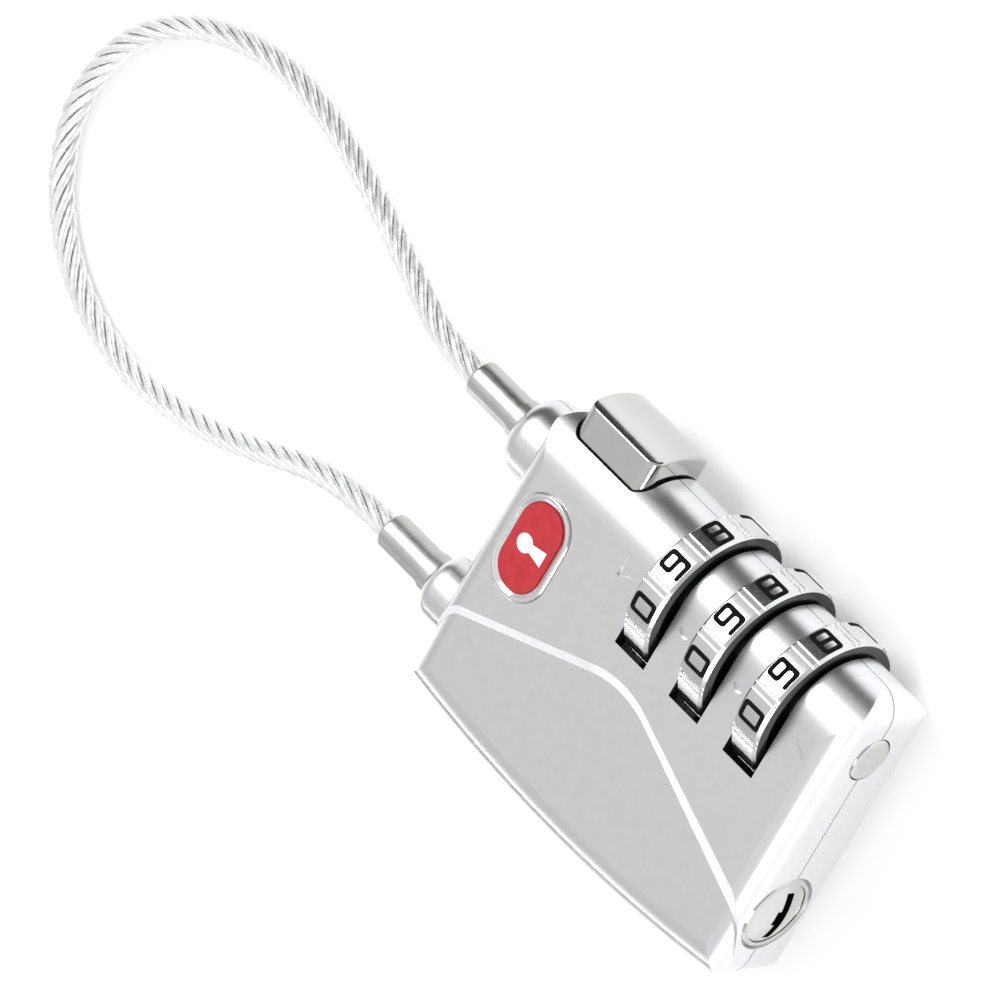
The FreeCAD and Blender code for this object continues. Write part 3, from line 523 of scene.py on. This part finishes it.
# ---------------------------------------------------------------- emblem
BADGE_X = 4.6 * MM
BADGE_Y = 17.0 * MM
BADGE_W = 11.4 * MM
BADGE_H = 7.2 * MM
FRONT_Z = 12.6 * MM
BADGE_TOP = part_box("badge_bezel")[1].z
ENAMEL_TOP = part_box("badge_enamel")[1].z
KEYHOLE_EYE_R = 0.98 * MM
KEYHOLE_EYE_UP = 0.75 * MM   # above the emblem's middle
KEYHOLE_FOOT_HALF = 0.82 * MM
KEYHOLE_FOOT_DOWN = 2.70 * MM   # below the eye
KEYHOLE_THICK = 0.1 * MM
KEYHOLE_PROUD = 0.03 * MM


def obround(grow, steps=24):
    """Points round the emblem's outline, grown on every side."""
    radius = BADGE_H / 2 + grow
    half = (BADGE_W - BADGE_H) / 2
    out = []
    for side, start in ((1, -90), (-1, 90)):
        for k in range(steps + 1):
            angle = math.radians(start + 180 * k / steps)
            out.append((BADGE_X + side * half + radius * math.cos(angle), BADGE_Y + radius * math.sin(angle)))
    return out


def make_bezel():
    """The rim as a rounded moulding with a small inner step."""
    low = FRONT_Z - 0.45 * MM
    profile = [(0.0, low), (0.0, BADGE_TOP - 0.18 * MM), (0.05, BADGE_TOP - 0.07 * MM),
               (0.17, BADGE_TOP - 0.01 * MM), (0.30, BADGE_TOP), (0.42, BADGE_TOP - 0.02 * MM),
               (0.55, BADGE_TOP - 0.09 * MM), (0.62, BADGE_TOP - 0.17 * MM), (0.80, BADGE_TOP - 0.19 * MM),
               (0.88, BADGE_TOP - 0.26 * MM), (0.9, low)]
    rings = []
    for inward, z in profile:
        rings.append([Vector((x, y, z)) for x, y in obround(-inward * MM)])
    rings.append(rings[0])
    count = len(rings[0])
    points = [p for ring in rings[:-1] for p in ring]
    faces = []
    rows = len(rings) - 1
    for i in range(rows):
        for j in range(count):
            k = (j + 1) % count
            n = (i + 1) % rows
            faces.append((i * count + j, i * count + k, n * count + k, n * count + j))
    bezel = mesh_piece("badge_rim", points, faces, bezel_chrome)
    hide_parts("badge_bezel")
    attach(bezel, "case")


def make_keyhole():
    """A plain white keyhole in the middle of the emblem."""
    eye = BADGE_Y + KEYHOLE_EYE_UP
    outline = []
    for k in range(33):
        angle = math.radians(-62 + 304 * k / 32)
        outline.append(Vector((BADGE_X + KEYHOLE_EYE_R * math.cos(angle),
                               eye + KEYHOLE_EYE_R * math.sin(angle))))
    outline += [Vector((BADGE_X + side * KEYHOLE_FOOT_HALF, eye - KEYHOLE_FOOT_DOWN)) for side in (-1, 1)]
    plate = filled([outline], KEYHOLE_THICK)
    bmesh.ops.translate(plate, verts=plate.verts, vec=(0, 0, ENAMEL_TOP + KEYHOLE_PROUD))
    mesh = bpy.data.meshes.new("badge_keyhole")
    plate.to_mesh(mesh)
    plate.free()
    mesh.materials.append(white_enamel)
    keyhole = link(bpy.data.objects.new("badge_keyhole", mesh))
    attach(keyhole, "case")


bezel_chrome = metal("bezel_chrome", (0.80, 0.80, 0.80), 0.12, 0.18, 2600.0, 0.000003, shade=0.02)
make_bezel()
make_keyhole()


# ---------------------------------------------------------------- floor and light
def make_floor():
    half = 3.0
    corners = [(-half, -half, FLOOR_Z), (half, -half, FLOOR_Z), (half, half, FLOOR_Z), (-half, half, FLOOR_Z)]
    material, tree, bsdf = new_material("floor")
    bsdf.inputs["Roughness"].default_value = 0.9
    bsdf.inputs["Specular IOR Level"].default_value = 0.0
    bsdf.inputs["Emission Color"].default_value = (1, 1, 1, 1)
    bsdf.inputs["Emission Strength"].default_value = 0.18
    two_tone(tree, bsdf, (0.94, 0.94, 0.94), (0.96, 0.96, 0.96), noise(tree, 30.0))
    floor = mesh_piece("floor", corners, [(0, 1, 2, 3)], material, smooth=False)


def make_light(name, at, size, power, towards=(0.0, 0.03, 0.0)):
    data = bpy.data.lights.new(name, "AREA")
    data.shape = "RECTANGLE"
    data.size, data.size_y = size
    data.energy = power
    light = link(bpy.data.objects.new(name, data))
    at = Vector(at)
    light.location = at
    light.rotation_mode = "QUATERNION"
    light.rotation_quaternion = (Vector(towards) - at).to_track_quat("-Z", "Y")


def make_flag(name, middle, width, height, facing, grey):
    """A card that only reflections see, standing on the floor."""
    material, tree, bsdf = new_material(name)
    bsdf.inputs["Base Color"].default_value = (grey, grey, grey, 1)
    bsdf.inputs["Roughness"].default_value = 1.0
    bsdf.inputs["Specular IOR Level"].default_value = 0.0
    out = Vector((math.cos(facing), math.sin(facing), 0))
    side = Vector((-out.y, out.x, 0)) * (width / 2)
    base = Vector((middle[0], middle[1], FLOOR_Z))
    rise = Vector((0, 0, height))
    points = [base - side, base + side, base + side + rise, base - side + rise]
    card = mesh_piece(name, points, [(0, 1, 2, 3)], material, smooth=False)
    card.visible_camera = False
    card.visible_diffuse = False
    card.visible_shadow = False
    card.visible_transmission = False


def make_world():
    """A pale studio, a little darker half-way up."""
    world = bpy.data.worlds.new("studio")
    world.use_nodes = True
    tree = world.node_tree
    where = tree.nodes.new("ShaderNodeTexCoord")
    split = tree.nodes.new("ShaderNodeSeparateXYZ")
    tree.links.new(where.outputs["Generated"], split.inputs["Vector"])
    ramp = tree.nodes.new("ShaderNodeValToRGB")
    ramp.color_ramp.interpolation = "EASE"
    stops = [(0.0, 0.85), (0.10, 0.80), (0.30, 0.60), (0.60, 0.62), (0.85, 0.80), (1.0, 0.90)]
    elements = ramp.color_ramp.elements
    while len(elements) < len(stops):
        elements.new(0.5)
    for element, (at, grey) in zip(elements, stops):
        element.position = at
        element.color = (grey, grey, grey, 1)
    tree.links.new(split.outputs["Z"], ramp.inputs["Fac"])
    tree.links.new(ramp.outputs["Color"], tree.nodes["Background"].inputs["Color"])
    tree.nodes["Background"].inputs["Strength"].default_value = 1.0
    bpy.context.scene.world = world


make_floor()
make_world()
make_light("key_light", (0.42, 0.46, 0.78), (0.42, 0.42), 4.2)
make_light("fill_light", (-0.42, -0.72, 0.46), (0.40, 0.30), 3.0)
make_light("left_light", (-0.71, 0.37, 0.07), (0.34, 0.12), 0.35)
make_flag("right_flag", (0.058, 0.022), 0.16, 0.028, math.radians(208), 0.05)
make_flag("left_flag", (-0.060, 0.010), 0.10, 0.014, math.radians(-20), 0.05)
bpy.context.scene.view_settings.view_transform = "Standard"
